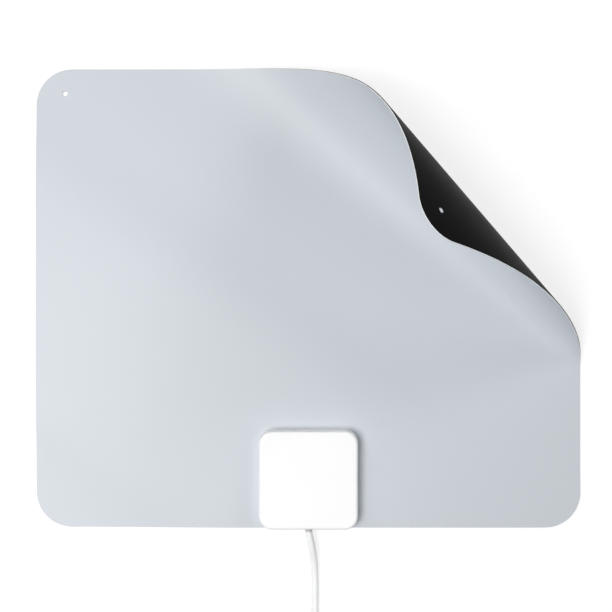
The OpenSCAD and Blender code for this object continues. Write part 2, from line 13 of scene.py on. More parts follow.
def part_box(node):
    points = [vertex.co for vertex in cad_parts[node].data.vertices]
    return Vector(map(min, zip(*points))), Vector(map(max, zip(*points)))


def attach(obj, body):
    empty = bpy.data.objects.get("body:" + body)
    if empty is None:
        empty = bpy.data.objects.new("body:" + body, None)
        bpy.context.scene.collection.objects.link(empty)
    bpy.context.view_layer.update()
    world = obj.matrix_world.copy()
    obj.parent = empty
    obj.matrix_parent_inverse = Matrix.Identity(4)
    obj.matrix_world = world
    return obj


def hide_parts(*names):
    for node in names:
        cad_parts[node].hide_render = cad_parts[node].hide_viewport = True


bl_info = {
    "name": "Flat sheet antenna",
    "version": (1, 0, 0),
    "blender": (4, 5, 0),
    "location": "3D View > Sidebar > Antenna",
    "description": "Builds a flat sheet television antenna with a curled corner on its packed frame",
    "category": "Add Mesh",
}

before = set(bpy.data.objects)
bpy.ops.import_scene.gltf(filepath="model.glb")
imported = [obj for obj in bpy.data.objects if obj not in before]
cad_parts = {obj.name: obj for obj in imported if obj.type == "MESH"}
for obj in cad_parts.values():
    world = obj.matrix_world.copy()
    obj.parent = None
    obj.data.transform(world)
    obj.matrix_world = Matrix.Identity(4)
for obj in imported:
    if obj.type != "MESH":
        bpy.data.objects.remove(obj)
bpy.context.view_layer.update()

MM = 0.001
TAU = 2 * math.pi
QUADRANTS = ((1, 1), (-1, 1), (-1, -1), (1, -1))

# Folds, in millimetres from the sheet's middle along the curl's direction
CREST, EASE_END, CURL_END, FAN_END = 135, 162, 218, 119
DROPS, DROP_RUN, DROP_HALF, DROP_MIDDLE, DROP_SHARE = 5, 66, 46, -93, 0.955
# Rows of the films' mesh: start, end and pitch, and the pitches along a row and along the sheet's rim
ROWS = ((-216, -205, 5.5), (-205, -139, 3.3), (-139, -47, 5.75), (-47, 19, 3.3))
CURL_ROWS, LOOSE_ROWS, LEVEL_ROWS, ROWS_END = 1.9, 2.3, 5.0, 216
ROW_STEP, ROW_REACH, RIM_STEP, CORNER_STEPS = 6.0, 240, 1.5, 24
# Floor in metres: half its side, its height, its glow near and far, and where that glow starts and ends
FLOOR_SIZE, FLOOR_Z, FLOOR_GLOW, FLOOR_FADE = 6.0, -0.0001, (0.78, 1.0), (0.35, 1.5)
# Housing, in millimetres from its middle
SCREW_INSET, SCREW_HOLE_R = 24, 1.7
WINDOW_X, WINDOW_Y, WINDOW_R = 13, 2, 3.6
BOARD_Y, POST_X, POST_Y = 6, 15.5, 12
# Run, coil and strap of the cord, in millimetres and degrees
RUN_X, COIL_Y = 4, -231
STRAP_AT, STRAP_W, STRAP_HUG = 40, 8.0, 0.9
# Ring of painted shade on the jacket at the housing, standing in for the housing's shadow on the cord, in
# metres from the wall
SHADE_RING_START, SHADE_RING_END = 0.0004, 0.0021
# Slots of the wound coil, each (column, row), in the order in which the turns fill them, and their waits
COIL_SLOTS = ((0, 0), (1, 0), (2, 0), (3, 0), (3, 1), (3, 2), (2, 2), (2, 1), (1, 1), (1, 2), (0, 2), (0, 1))
COIL_WAITS = (7, 7, 7, 6, 6, 5, 4, 3, 2, 1, 0)


def length(name, description, default):
    """A length property in metres."""
    return FloatProperty(
        name=name, description=description, default=default, min=0, precision=5, unit="LENGTH"
    )


def colour(name, description, default):
    """A linear colour property."""
    return FloatVectorProperty(
        name=name, description=description, default=default, size=3, min=0, max=1, subtype="COLOR"
    )


def angle(name, description, degrees):
    """An angle property, its default given in degrees."""
    return FloatProperty(name=name, description=description, default=math.radians(degrees), subtype="ANGLE")


def power(name, description, default):
    """A lamp's power in watts."""
    return FloatProperty(name=name, description=description, default=default, min=0, unit="POWER")


class SheetSettings(PropertyGroup):
    """Sizes and colours of the laminated sheet."""

    width: length("Width", "Width of the flat sheet", 0.335)
    depth: length("Length", "Length of the flat sheet", 0.282)
    corner: length("Corner radius", "Radius of the sheet's corners", 0.022)
    film: length("Film", "Thickness of each film", 0.0004)
    bond: length("Bond line", "Gap between the two films", 0.00009)
    hole: length("Pin hole radius", "Radius of the two pin holes", 0.00155)
    hole_x: length("Pin hole inset X", "Pin hole to the side edge", 0.0175)
    hole_y: length("Pin hole inset Y", "Pin hole to the far edge", 0.015)
    front: colour("Front", "Colour of the front film", (0.578, 0.612, 0.655))
    back: colour("Back", "Colour of the rear film", (0.0015, 0.0016, 0.0018))
    core: colour("Cut edge", "Colour of the front film's cut edge", (0.96, 0.965, 0.97))


class CurlSettings(PropertyGroup):
    """Form of the curled corner."""

    direction: angle("Direction", "Direction in which the corner rolls up", 38.5)
    start: length("Start", "Sheet's middle to the start of the curl", 0.055)
    ramp: length("Ramp", "Length over which the curl tightens", 0.029)
    tight: length("Tight run", "Length of the tight part", 0.031)
    tight_radius: length("Tight radius", "Radius of the tight part", 0.037)
    loose_radius: length("Loose radius", "Radius of the slack part", 0.11)
    fan: FloatProperty(
        name="Fan", description="Fan of the fold lines, degrees per millimetre", default=0.257, min=0
    )


class HousingSettings(PropertyGroup):
    """Sizes and colours of the housing."""

    side: length("Side", "Side of the square housing", 0.0606)
    corner: length("Corner radius", "Corner radius of the housing", 0.0085)
    cover: length("Cover height", "Height of the front cover", 0.01)
    rear: length("Rear thickness", "Thickness of the rear cover", 0.0026)
    wall: length("Wall", "Wall of the front cover", 0.0018)
    ceiling: length("Ceiling", "Ceiling of the front cover", 0.0016)
    draft: length("Draft", "How much each side leans in", 0.0005)
    edge: length("Edge radius", "Rounding of the top edge", 0.0016)
    white: colour("Cover", "Colour of the front cover", (0.965, 0.97, 0.965))
    black: colour("Rear cover", "Colour of the rear cover", (0.016, 0.016, 0.018))


class CordSettings(PropertyGroup):
    """Sizes and colours of the cord, its tie and its plug."""

    diameter: length("Diameter", "Diameter of the coaxial cord", 0.0044)
    total: length("Length", "Real length of the cord", 1.8)
    coil: length("Coil radius", "Centreline radius of the coil's outermost turn", 0.0306)
    passes: IntProperty(name="Turns", description="Whole turns of the coil", default=11, min=1, max=11)
    jacket: colour("Jacket", "Colour of the jacket", (0.94, 0.945, 0.948))
    tie: colour("Tie", "Colour of the coil tie", (0.8, 0.81, 0.8))
    metal: colour("Plug", "Colour of the plug's plating", (0.66, 0.64, 0.6))
    pitch: length("Thread pitch", "Pitch of the nut's thread", 0.00079)


class StageSettings(PropertyGroup):
    """Camera and light."""

    height: length("Camera height", "Camera above the table", 0.684)
    lens: FloatProperty(
        name="Lens", description="Focal length in millimetres", default=65.2, min=1, unit="CAMERA"
    )
    panel: power("Panel", "Power of the overhead panel", 9.1)
    left: power("Left lamp", "Power of the far left lamp", 2.4)
    far: power("Far lamp", "Power of the lamp behind the curl", 3.45)
    right: power("Right lamp", "Power of the right lamp", 1.4)
    sky: FloatProperty(name="Sky", description="Strength of the world's light", default=0.07, min=0)
    floor: colour("Floor", "Colour of the floor", (1.0, 1.0, 1.0))


# Node materials


class Nodes:
    """Builds one node material around a Principled shader."""

    def __init__(self, name):
        self.material = bpy.data.materials.new(name)
        self.material.use_nodes = True
        self.tree = self.material.node_tree
        self.shader = self.tree.nodes["Principled BSDF"]
        self.place = self.add("ShaderNodeTexCoord").outputs["Object"]

    def add(self, kind, **inputs):
        """A node with its inputs set or linked. Keys in capitals set the node's own options."""
        node = self.tree.nodes.new(kind)
        for key, value in inputs.items():
            if key.isupper():
                setattr(node, key.lower(), value)
        for key, value in inputs.items():
            if not key.isupper():
                self.put(node.inputs[key.replace("_", " ")], value)
        return node

    def put(self, socket, value):
        """Links an output to a socket, or sets the socket's value."""
        if isinstance(value, bpy.types.NodeSocket):
            self.tree.links.new(value, socket)
        else:
            socket.default_value = value

    def stretched(self, scale):
        """Object coordinates scaled per axis."""
        return self.add("ShaderNodeMapping", Vector=self.place, Scale=scale).outputs[0]

    def noise(self, scale, detail=3.0, rough=0.5, vector=None):
        """Noise between 0 and 1, its scale per metre."""
        place = vector or self.place
        node = self.add("ShaderNodeTexNoise", Vector=place, Scale=scale, Detail=detail, Roughness=rough)
        return node.outputs["Fac"]

    def span(self, value, low, high, start=0.3, end=0.7):
        """A value mapped from start..end to low..high."""
        node = self.add("ShaderNodeMapRange", Value=value)
        for socket, number in zip(node.inputs[1:5], (start, end, low, high)):
            socket.default_value = number
        return node.outputs[0]

    def mix(self, factor, a, b):
        """Mix of two colours."""
        node = self.tree.nodes.new("ShaderNodeMix")
        node.data_type = "RGBA"
        for socket, value in ((node.inputs[0], factor), (node.inputs[6], a), (node.inputs[7], b)):
            self.put(socket, value)
        return node.outputs[2]

    def bump(self, height, distance, strength=1.0, normal=None):
        """Bump of a height in metres times distance."""
        node = self.add("ShaderNodeBump", Height=height, Distance=distance, Strength=strength)
        if normal:
            self.put(node.inputs["Normal"], normal)
        return node.outputs[0]

    def finish(self, **inputs):
        """Sets the Principled shader's inputs and returns the material."""
        for key, value in inputs.items():
            self.put(self.shader.inputs[key.replace("_", " ")], value)
        return self.material


def seen_rays(tree):
    """1 for camera, glossy and transmission rays, and 0 for the rays that light the object."""
    path = tree.nodes.new("ShaderNodeLightPath")
    total = path.outputs["Is Camera Ray"]
    for name in ("Is Glossy Ray", "Is Transmission Ray"):
        node = tree.nodes.new("ShaderNodeMath")
        node.operation, node.use_clamp = "ADD", True
        tree.links.new(total, node.inputs[0])
        tree.links.new(path.outputs[name], node.inputs[1])
        total = node.outputs[0]
    return total


def tone(rgb, factor=1.0):
    """Colour with alpha, made lighter or darker by a factor."""
    return tuple(min(1.0, c * factor) for c in rgb) + (1.0,)


def plastic(name, rgb, rough, spread, cloud, grain=1800.0, depth=0.00002, sheen=0.45, wave=0.0):
    """Moulded plastic or film: soft tone clouds, a fine grain, an uneven gloss and, on a film, slow waves."""
    n = Nodes(name)
    clouds = n.noise(cloud, 4.0, 0.6)
    fine = n.noise(grain, 2.0)
    base = n.mix(n.span(clouds, 0.0, 1.0), tone(rgb, 1 - spread), tone(rgb, 1 + spread))
    gloss = n.span(n.noise(cloud * 3, 3.0), rough - spread, rough + spread)
    waves = n.bump(n.noise(13.0, 1.0), wave, 1.0) if wave else None
    relief = n.bump(fine, depth, 0.5, waves)
    return n.finish(Base_Color=base, Roughness=gloss, Specular_IOR_Level=sheen, Normal=relief)


def metal(name, rgb, rough, along, grain, depth=0.000012, spread=0.08):
    """Plated or rolled metal with marks drawn out along one axis."""
    n = Nodes(name)
    drawn = n.noise(grain, 3.0, 0.6, n.stretched(along))
    stains = n.noise(300.0, 4.0, 0.7)
    base = n.mix(n.span(stains, 0.0, 1.0), tone(rgb, 1 - spread), tone(rgb, 1 + spread * 0.5))
    gloss = n.span(drawn, rough - 0.08, rough + 0.1)
    return n.finish(Base_Color=base, Roughness=gloss, Metallic=1.0, Normal=n.bump(drawn, depth, 0.4))


# Meshes


def add_mesh(name, verts, faces, body, slot, materials, node=(), marks=None, sharp=35):
    """A smooth mesh piece, verts in millimetres, riding on a body and standing for CAD nodes."""
    mesh = bpy.data.meshes.new(name)
    mesh.from_pydata([tuple(v) for v in (np.asarray(verts, dtype=float) * MM)], [], faces)
    mesh.validate(clean_customdata=False)
    mesh.polygons.foreach_set("use_smooth", [True] * len(mesh.polygons))
    for material in materials:
        mesh.materials.append(material)
    if marks is not None:
        mesh.polygons.foreach_set("material_index", marks)
    if sharp:
        mesh.set_sharp_from_angle(angle=math.radians(sharp))
    mesh.update()
    obj = bpy.data.objects.new(name, mesh)
    bpy.context.scene.collection.objects.link(obj)
    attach(obj, body)
    if node:
        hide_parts(*node)
    return obj


def loft(rings, start=True, end=True, closed=False):
    """Verts and faces over rings of equally many points, with flat ends or joined end to end."""
    count = len(rings[0])
    verts = [p for ring in rings for p in ring]
    steps = len(rings) if closed else len(rings) - 1
    faces = []
    for i in range(steps):
        a, b = i * count, (i + 1) % len(rings) * count
        faces += [(a + k, a + (k + 1) % count, b + (k + 1) % count, b + k) for k in range(count)]
    if not closed and start:
        faces.append(tuple(range(count - 1, -1, -1)))
    if not closed and end:
        faces.append(tuple(range(len(verts) - count, len(verts))))
    return verts, faces


def joined(*parts):
    """One list of verts and faces out of several."""
    verts, faces = [], []
    for part_verts, part_faces in parts:
        shift = len(verts)
        verts += list(part_verts)
        faces += [tuple(i + shift for i in f) for f in part_faces]
    return verts, faces


def soft_rectangle(half_x, half_y, radius, steps):
    """Counter-clockwise points of a rounded rectangle round the origin."""
    points = []
    for k, (sx, sy) in enumerate(QUADRANTS):
        x, y = sx * (half_x - radius), sy * (half_y - radius)
        for j in range(steps + 1):
            a = (k + j / steps) * TAU / 4
            points.append((x + radius * math.cos(a), y + radius * math.sin(a)))
    return points


def soft_box(middle, half, radius, shape):
    """Closed form over a rounded square. The shape is (distance in from the side, height)."""
    rings = []
    for inset, z in shape:
        outline = soft_rectangle(half - inset, half - inset, max(0.6, radius - inset), 12)
        rings.append([(middle[0] + x, middle[1] + y, z) for x, y in outline])
    return loft(rings)


def lathe(profile, centre, axis="Z", steps=48, start=True, end=True):
    """Turned form. The profile is (distance along the axis, radius) from a point on it."""
    rings = []
    for along, radius in profile:
        ring = []
        for k in range(steps):
            a = TAU * k / steps
            u, v = radius * math.cos(a), radius * math.sin(a)
            ring.append(
                {
                    "X": (centre[0] + along, centre[1] + u, centre[2] + v),
                    "Y": (centre[0] + v, centre[1] + along, centre[2] + u),
                    "Z": (centre[0] + u, centre[1] + v, centre[2] + along),
                }[axis]
            )
        rings.append(ring)
    return loft(rings, start, end)


def rounded(corners, radius, steps=4):
    """Open profile with its inner corners rounded."""
    out = [corners[0]]
    for before, here, after in zip(corners, corners[1:], corners[2:]):
        p, q, r = (np.array(c, dtype=float) for c in (before, here, after))
        to, off = p - q, r - q
        cut = min(radius, 0.45 * np.linalg.norm(to), 0.45 * np.linalg.norm(off))
        a, b = q + to / np.linalg.norm(to) * cut, q + off / np.linalg.norm(off) * cut
        for j in range(steps + 1):
            t = j / steps
            out.append(tuple((1 - t) ** 2 * a + 2 * t * (1 - t) * q + t * t * b))
    out.append(corners[-1])
    return out


def carved(obj, verts, faces, sharp=30):
    """Cuts a closed form out of a piece."""
    mesh = bpy.data.meshes.new("cutter")
    mesh.from_pydata([tuple(v) for v in (np.asarray(verts, dtype=float) * MM)], [], faces)
    cutter = bpy.data.objects.new("cutter", mesh)
    bpy.context.scene.collection.objects.link(cutter)
    change = obj.modifiers.new("cut", "BOOLEAN")
    change.object, change.operation, change.solver = cutter, "DIFFERENCE", "EXACT"
    result = bpy.data.meshes.new_from_object(obj.evaluated_get(bpy.context.evaluated_depsgraph_get()))
    obj.modifiers.clear()
    old, obj.data = obj.data, result
    result.name = obj.name
    result.polygons.foreach_set("use_smooth", [True] * len(result.polygons))
    result.set_sharp_from_angle(angle=math.radians(sharp))
    bpy.data.meshes.remove(old)
    bpy.data.objects.remove(cutter)
    bpy.data.meshes.remove(mesh)


# The folded sheet


class Fold:
    """The sheet bent along a fine run of fold lines, in millimetres.

    It lies on the housing's rear cover, drops to the table on both sides of it and then curls up.
    """

    def __init__(self, curl, housing):
        mm = 1 / MM
        self.along = math.degrees(curl.direction)
        self.start, self.fan = curl.start * mm, curl.fan
        ramp, tight = curl.ramp * mm, curl.tight * mm
        tight_r, loose_r = curl.tight_radius * mm, curl.loose_radius * mm
        rear = housing.rear * mm
        curve = (
            (self.start, 0),
            (self.start + ramp, 1 / tight_r),
            (self.start + ramp + tight, 1 / tight_r),
            (CREST, 0.5 / tight_r),
            (EASE_END, 1.2 / loose_r),
            (CURL_END, 1 / loose_r),
        )
        folds, parts = [], 8
        pitch = DROP_RUN / (2 * DROPS)
        bend = math.asin(rear / (pitch * DROP_SHARE * DROPS * DROPS))
        for begin, sign in ((DROP_MIDDLE - DROP_HALF - DROP_RUN, 1), (DROP_MIDDLE + DROP_HALF, -1)):
            for i in range(2 * DROPS * parts):
                way = sign if i < DROPS * parts else -sign
                folds.append((begin + (i + 0.5) * pitch / parts, way * bend / parts))
        self.anchor = 2 * DROPS * parts
        for low, high, pitch, parts in ((self.start, CREST, 1.9, 4), (CREST, CURL_END, 4.6, 8)):
            for i in range(int((high - low - pitch / 2) / pitch + 1) * parts):
                s = low + (i + 0.5) * pitch / parts
                folds.append((s, pitch / parts * float(np.interp(s, *zip(*curve)))))
        self.folds = folds
        base = math.radians(self.along)
        self.axis = np.array([math.cos(base), math.sin(base)])
        self.points = np.array([s * self.axis for s, _ in folds])
        self.lines = np.array([self.line(s) for s, _ in folds])
        count = len(folds)
        strips = [None] * (count + 1)
        raised = np.eye(4)
        raised[2, 3] = rear
        strips[self.anchor] = raised
        for i in range(self.anchor, count):
            strips[i + 1] = strips[i] @ self.turn(i, folds[i][1])
        for i in range(self.anchor - 1, -1, -1):
            strips[i] = strips[i + 1] @ self.turn(i, -folds[i][1])
        self.strips = np.array(strips)

    def line(self, s):
        """Direction of the fold line at distance s."""
        a = math.radians(self.along - 90 + max(0, FAN_END - max(s, self.start)) * self.fan)
        return math.cos(a), math.sin(a)

    def turn(self, i, bend):
        """Turn by an angle about fold line i."""
        d = np.array([*self.lines[i], 0.0])
        k = np.array([[0, -d[2], d[1]], [d[2], 0, -d[0]], [-d[1], d[0], 0]])
        m = np.eye(4)
        m[:3, :3] += math.sin(bend) * k + (1 - math.cos(bend)) * k @ k
        p = np.array([*self.points[i], 0.0])
        m[:3, 3] = p - m[:3, :3] @ p
        return m

    def place(self, flat, z):
        """Bent places and front normals of flat points at height z above the sheet's back."""
        flat = np.asarray(flat, dtype=float)
        places, normals = np.empty((len(flat), 3)), np.empty((len(flat), 3))
        up = self.strips[:, :3, 2]
        for first in range(0, len(flat), 2000):
            part = flat[first : first + 2000]
            v = part[:, None, :] - self.points[None]
            side = self.lines[None, :, 0] * v[..., 1] - self.lines[None, :, 1] * v[..., 0]
            k = (side > 0).sum(1)
            low, high = np.maximum(k - 1, 0), np.minimum(k, len(self.folds) - 1)
            rows = np.arange(len(part))
            past, left = np.abs(side[rows, low]), np.abs(side[rows, high])
            t = past / np.maximum(past + left, 1e-9)
            before, after = up[np.maximum(k - 1, 0)], up[np.minimum(k + 1, len(up) - 1)]
            way = np.where(t[:, None] < 0.5, before - up[k], after - up[k])
            n = up[k] + way * np.abs(t - 0.5)[:, None]
            points = np.c_[part, np.full(len(part), z), np.ones(len(part))]
            places[first : first + len(part)] = np.einsum("pij,pj->pi", self.strips[k], points)[:, :3]
            normals[first : first + len(part)] = n / np.linalg.norm(n, axis=1)[:, None]
        return places, normals


def sheet_outline(width, depth, radius, inset):
    """Counter-clockwise points of the sheet's outline, moved in by inset, and their outward directions."""
    points, outward = [], []
    for k, (sx, sy) in enumerate(QUADRANTS):
        centre = np.array([sx * (width / 2 - radius), sy * (depth / 2 - radius)])
        for j in range(CORNER_STEPS + 1):
            a = (k + j / CORNER_STEPS) * TAU / 4
            o = np.array([math.cos(a), math.sin(a)])
            points.append(centre + o * (radius - inset))
            outward.append(o)
        reach = (width if k % 2 == 0 else depth) - 2 * radius
        way = np.array([-o[1], o[0]])
        steps = int(reach / RIM_STEP)
        for j in range(1, steps):
            points.append(centre + o * (radius - inset) + way * reach * j / steps)
            outward.append(o)
    return np.array(points), np.array(outward)


def hole_outline(centre, radius, inset, steps=32):
    """Clockwise points round a hole and the directions towards its middle."""
    a = -np.arange(steps) * TAU / steps
    o = -np.c_[np.cos(a), np.sin(a)]
    return np.asarray(centre) - o * (radius + inset), o


def film(name, fold, sheet, z0, z1, holes, materials, node, slot):
    """One film of the laminate, between two heights above the sheet's back."""
    mm, soft, clear = 1 / MM, 0.06, 1.0
    width, depth, radius = sheet.width * mm, sheet.depth * mm, sheet.corner * mm
    loops = [sheet_outline(width, depth, radius, soft)]
    loops += [hole_outline(centre, r, soft) for centre, r in holes]
    inside = []
    level = (ROWS[-1][1], fold.start, LEVEL_ROWS)
    for low, high, pitch in (*ROWS, level, (fold.start, CREST, CURL_ROWS), (CREST, ROWS_END, LOOSE_ROWS)):
        for s in np.arange(low, high - 0.1, pitch):
            middle, way = s * fold.axis, np.array(fold.line(s))
            inside.append(middle + np.arange(-ROW_REACH, ROW_REACH, ROW_STEP)[:, None] * way)
    inside = np.concatenate(inside)
    over = np.maximum(np.abs(inside) - np.array([width / 2 - radius, depth / 2 - radius]), 0)
    keep = (np.abs(inside) < np.array([width, depth]) / 2 - clear).all(1)
    keep &= np.hypot(*over.T) < radius - clear
    for centre, r in holes:
        keep &= np.hypot(*(inside - np.asarray(centre)).T) > r + 0.7
    inside = inside[keep]
    flat = np.concatenate([points for points, _ in loops] + [inside])
    edges, first = [], 0
    for points, _ in loops:
        count = len(points)
        edges += [(first + i, first + (i + 1) % count) for i in range(count)]
        first += count
    out = delaunay_2d_cdt([Vector(p) for p in flat], edges, [], 0, 1e-5, True)
    spots = np.array([tuple(p) for p in out[0]])
    found = {}
    for i, sources in enumerate(out[3]):
        for source in sources:
            found[source] = i
    triangles = np.array([tuple(f) for f in out[2] if len(f) == 3])
    middles = spots[triangles].mean(1)
    keep = np.ones(len(triangles), dtype=bool)
    for centre, r in holes:
        keep &= np.hypot(*(middles - np.asarray(centre)).T) > r + soft
    triangles = triangles[keep]
    a, b, c = (spots[triangles[:, i]] for i in range(3))
    flip = (b - a)[:, 0] * (c - a)[:, 1] - (b - a)[:, 1] * (c - a)[:, 0] < 0
    triangles[flip] = triangles[flip][:, ::-1]
    top, up = fold.place(spots, z1)
    bottom, _ = fold.place(spots, z0)
    verts = [top, bottom]
    count = len(spots)
    faces = [tuple(t) for t in triangles] + [tuple(count + i for i in t[::-1]) for t in triangles]
    loop_normals = [up[i] for t in triangles for i in t] + [-up[i] for t in triangles for i in t[::-1]]
    marks = [0] * len(faces)
    offset, first = 2 * count, 0
    for points, outward in loops:
        n = len(points)
        rim = points + outward * soft
        high, normal = fold.place(rim, z1 - soft)
        low, _ = fold.place(rim, z0 + soft)
        nudged, _ = fold.place(rim + outward * 0.01, z1 - soft)
        out_way = (nudged - high) / np.linalg.norm(nudged - high, axis=1)[:, None]
        verts += [high, low]
        ids = [found[first + i] for i in range(n)]
        lift = (normal + out_way) / math.sqrt(2)
        sink = (out_way - normal) / math.sqrt(2)
        for i in range(n):
            j = (i + 1) % n
            p, q = ids[i], ids[j]
            hp, hq, lp, lq = offset + i, offset + j, offset + n + i, offset + n + j
            faces += [(hp, hq, q, p), (lp, lq, hq, hp), (count + p, count + q, lq, lp)]
            loop_normals += [out_way[i], out_way[j], lift[j], lift[i]]
            loop_normals += [out_way[i], out_way[j], out_way[j], out_way[i]]
            loop_normals += [sink[i], sink[j], out_way[j], out_way[i]]
            marks += [1, 1, 1]
        offset += 2 * n
        first += n
    obj = add_mesh(name, np.concatenate(verts), faces, "root", slot, materials, [node], marks, None)
    obj.data.normals_split_custom_set([tuple(v) for v in loop_normals])
    return obj


def housing_middle():
    """Middle of the housing in millimetres, as the frame has it."""
    low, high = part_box("rear_cover")
    return (low.x + high.x) / 2 / MM, (low.y + high.y) / 2 / MM


def screw_points():
    """Middles of the four cover screws in millimetres."""
    cx, cy = housing_middle()
    return [(cx + sx * SCREW_INSET, cy + sy * SCREW_INSET) for sx in (-1, 1) for sy in (-1, 1)]


def cord_height():
    """Height of the cord's centreline in the housing, in millimetres."""
    low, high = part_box("coax_conductor")
    return (low.z + high.z) / 2 / MM


class ANTENNA_OT_films(Operator):
    """Add the front and the rear film, bent into the photographed curl."""

    bl_idname = "antenna.films"
    bl_label = "Films"
    bl_options = {"REGISTER", "UNDO"}

    def execute(self, context):
        sheet = context.scene.antenna_sheet
        fold = Fold(context.scene.antenna_curl, context.scene.antenna_housing)
        pin_x, pin_y = (sheet.width / 2 - sheet.hole_x) / MM, (sheet.depth / 2 - sheet.hole_y) / MM
        pins = [((s * pin_x, pin_y), sheet.hole / MM) for s in (-1, 1)]
        screws = [(p, SCREW_HOLE_R) for p in screw_points()]
        cx, cy = housing_middle()
        windows = [((cx + s * WINDOW_X, cy + WINDOW_Y), WINDOW_R) for s in (-1, 1)]
        front = plastic("front film", sheet.front, 0.49, 0.006, 9.0, 2600.0, 0.000008, 0.5, 0.00012)
        back = plastic("rear film", sheet.back, 0.5, 0.03, 20.0, 2600.0, 0.000012, 0.03, 0.00012)
        core = plastic("cut edge", sheet.core, 0.5, 0.02, 300.0)
        film_t, bond = sheet.film / MM, sheet.bond / MM
        high = (film_t + bond, 2 * film_t + bond)
        holes = pins + screws
        film("film_front", fold, sheet, *high, holes + windows, [front, core], "front_film", "front_film")
        film("film_back", fold, sheet, 0.0, film_t, holes, [back, back], "rear_film", "rear_film")
        return {"FINISHED"}


class ANTENNA_OT_cover(Operator):
    """Add the housing's white front cover."""

    bl_idname = "antenna.cover"
    bl_label = "Front cover"
    bl_options = {"REGISTER", "UNDO"}

    def execute(self, context):
        sheet, h = context.scene.antenna_sheet, context.scene.antenna_housing
        mm = 1 / MM
        cx, cy = housing_middle()
        half, radius, edge, draft = h.side * mm / 2, h.corner * mm, h.edge * mm, h.draft * mm
        wall, height = h.wall * mm, h.cover * mm
        base = (h.rear + 2 * sheet.film + sheet.bond) * mm
        top = base + height
        ceiling, lip, bevel, chamfer = top - h.ceiling * mm, 0.3, 0.4, 0.2
        shape = [(wall + 3, ceiling), (wall + bevel, ceiling), (wall, ceiling - bevel)]
        shape += [(wall, base + chamfer), (wall + chamfer, base), (lip, base)]
        for a in np.linspace(0.2, TAU / 4, 4):
            shape.append((lip * (1 - math.sin(a)), base + lip * (1 - math.cos(a))))
        shape += [(draft * 0.5, base + height * 0.4), (draft * 0.95, top - edge - 0.4)]
        for a in np.linspace(0, TAU / 4, 9):
            shape.append((draft + edge * (1 - math.cos(a)), top - edge * (1 - math.sin(a))))
        shape += [(draft + edge + 0.5, top), (draft + edge + 4, top)]
        shell = soft_box((cx, cy), half, radius, shape)
        white = plastic("housing white", h.white, 0.55, 0.012, 40.0, 2200.0, 0.00002, 0.4)
        obj = add_mesh("housing_cover", *shell, "root", "housing_white", [white], ["front_cover"])
        cord_r, cord_z = context.scene.antenna_cord.diameter * mm / 2, cord_height()
        play, mouth, flare = 0.12, 0.55, 0.9
        hole = [(-1, cord_r + flare), (0, cord_r + mouth), (0.5, cord_r + play), (4, cord_r + play)]
        carved(obj, *lathe(rounded(hole, 0.3), (cx, cy - half, cord_z), "Y"))

        def stubs(profile, places, z):
            """One turned form at each place."""
            return [lathe(profile, (x, y, z), "Z", 32, False, False) for x, y in places]

        boss_r, bore_r, bore_l, point = 3.5, 1.45, 7.8, 0.01
        post_r, tip_r, tip_l, post_z, sunk = 3, 1.2, 2.1, 1.5, 0.1
        reach = ceiling - base + sunk
        boss = [(0, bore_r), (0, boss_r - chamfer), (chamfer, boss_r), (reach, boss_r)]
        bore = [(bore_l, point), (bore_l, bore_r), (0, bore_r)]
        post = [(0, point), (0, tip_r), (tip_l, tip_r), (tip_l, post_r), (reach - post_z, post_r)]
        feet = [(cx + sx * POST_X, cy + BOARD_Y + sy * POST_Y) for sx in (-1, 1) for sy in (-1, 1)]
        inner = stubs(boss, screw_points(), base) + stubs(bore, screw_points(), base)
        inner += stubs(post, feet, base + post_z)
        add_mesh("cover_bosses", *joined(*inner), "root", "housing_white", [white])
        return {"FINISHED"}


class ANTENNA_OT_rear(Operator):
    """Add the housing's black rear cover with its screw seats."""

    bl_idname = "antenna.rear"
    bl_label = "Rear cover"
    bl_options = {"REGISTER", "UNDO"}

    def execute(self, context):
        h = context.scene.antenna_housing
        mm = 1 / MM
        half, radius, thick, edge = h.side * mm / 2, h.corner * mm, h.rear * mm, 0.8
        shape = [(5, 0), (edge + 0.4, 0)]
        shape += [(edge * (1 - math.sin(a)), edge * (1 - math.cos(a))) for a in np.linspace(0, TAU / 4, 7)]
        shape += [(0, thick - 0.2), (0.06, thick - 0.06), (0.2, thick), (5, thick)]
        black = plastic("housing black", h.black, 0.5, 0.15, 60.0, 1500.0, 0.00003, 0.45)
        form = soft_box(housing_middle(), half, radius, shape)
        obj = add_mesh("housing_back", *form, "root", "housing_black", [black], ["rear_cover"])
        mouth_r, head_r, shank_r, sink = 3.0, 2.84, 1.62, 1.5
        seat = [(-1, mouth_r), (-0.05, mouth_r), (0.06, head_r + 0.02), (0.3, head_r)]
        seat += [(sink, shank_r), (thick + 1, shank_r)]
        seats = [lathe(seat, (x, y, 0), "Z", 40) for x, y in screw_points()]
        carved(obj, *joined(*seats))
        return {"FINISHED"}


# The cord


def eased(points, steps):
    """Smooth line through route points."""
    p = np.array(points, dtype=float)
    n = len(p) - 1
    out = []
    for i in range(n):
        a, b, c, d = p[max(0, i - 1)], p[i], p[i + 1], p[min(n, i + 2)]
        u, v = (c - a) / 2, (d - b) / 2
        for t in np.arange(steps) / steps:
            rise = t * t * (3 - 2 * t)
            out.append(b * (1 - rise) + c * rise + u * (t**3 - 2 * t * t + t) + v * (t**3 - t * t))
    return out + [p[n]]


def eased_step(value, start, reach):
    """Smooth rise from 0 to 1 that begins at start and takes reach."""
    return 0.5 - 0.5 * math.cos(math.pi * min(1, max(0, (value - start) / reach)))


